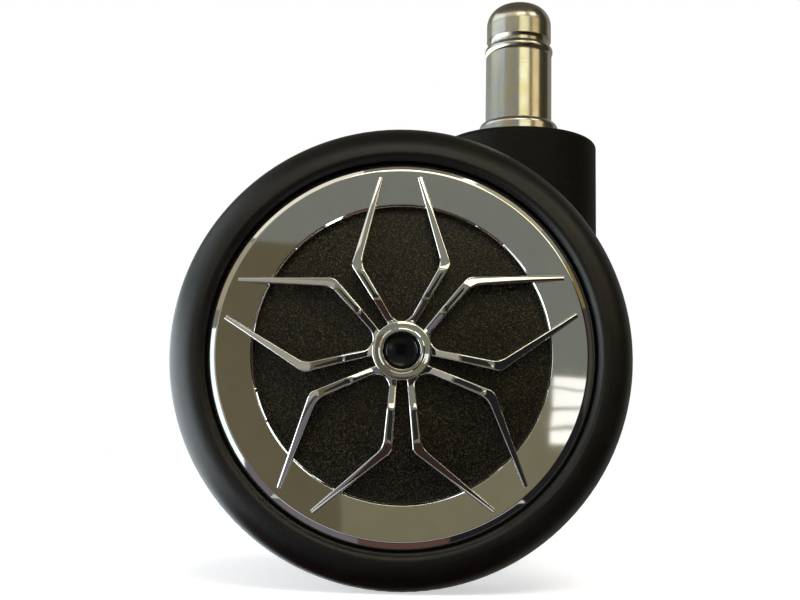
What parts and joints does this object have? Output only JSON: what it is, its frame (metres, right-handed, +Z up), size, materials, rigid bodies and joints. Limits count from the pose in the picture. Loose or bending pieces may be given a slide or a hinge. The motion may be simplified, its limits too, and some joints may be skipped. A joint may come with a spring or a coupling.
{
  "type": "office chair castor",
  "caption": "Swivel castor for an office chair: soft dark tyres with plated ring-and-star trim, a moulded housing between them and a plain steel stem with a grip ring.",
  "frame": {"origin": "on the stem's axis at the foot of its straight wall, where the collar meets the chair's socket", "axes": "+Z up along the stem, +X the way the castor leads, the axle along Y behind the stem, the right wheel on -Y"},
  "size_m": [0.065, 0.0644, 0.0945],
  "materials": {
    "plated_steel": "zinc-plated turned steel with a faint yellow cast",
    "spring_steel": "plated spring steel",
    "bearing_plastic": "smooth grey bearing plastic",
    "housing_plastic": "black moulding with a fine grain",
    "textured_plastic": "black moulding with a coarse spark-eroded texture",
    "soft_tread": "soft satin tread",
    "plated_trim": "bright chrome plating on a plastic moulding",
    "gloss_black": "gloss black"
  },
  "bodies": {
    "stem": {"stem": "plated_steel", "grip_ring": "spring_steel", "stem_clip": "spring_steel"},
    "housing": {"housing": "housing_plastic", "stem_sleeve": "bearing_plastic", "axle": "plated_steel", "right_thrust_washer": "bearing_plastic", "left_thrust_washer": "bearing_plastic", "right_axle_clip": "spring_steel", "left_axle_clip": "spring_steel"},
    "right_wheel": {"right_wheel_core": "textured_plastic", "right_wheel_bush": "bearing_plastic", "right_tyre": "soft_tread", "right_chrome_trim": "plated_trim", "right_hub_cap": "gloss_black"},
    "left_wheel": {"left_wheel_core": "textured_plastic", "left_wheel_bush": "bearing_plastic", "left_tyre": "soft_tread", "left_chrome_trim": "plated_trim", "left_hub_cap": "gloss_black"}
  },
  "joints": [
    {"name": "swivel", "type": "hinge", "parent": "stem", "child": "housing", "pos_m": [0, 0, 0], "axis": [0, 0, 1], "continuous": true},
    {"name": "right_wheel_spin", "type": "hinge", "parent": "housing", "child": "right_wheel", "pos_m": [-0.019, 0, -0.0413], "axis": [0, 1, 0], "continuous": true},
    {"name": "left_wheel_spin", "type": "hinge", "parent": "housing", "child": "left_wheel", "pos_m": [-0.019, 0, -0.0413], "axis": [0, 1, 0], "continuous": true}
  ]
}
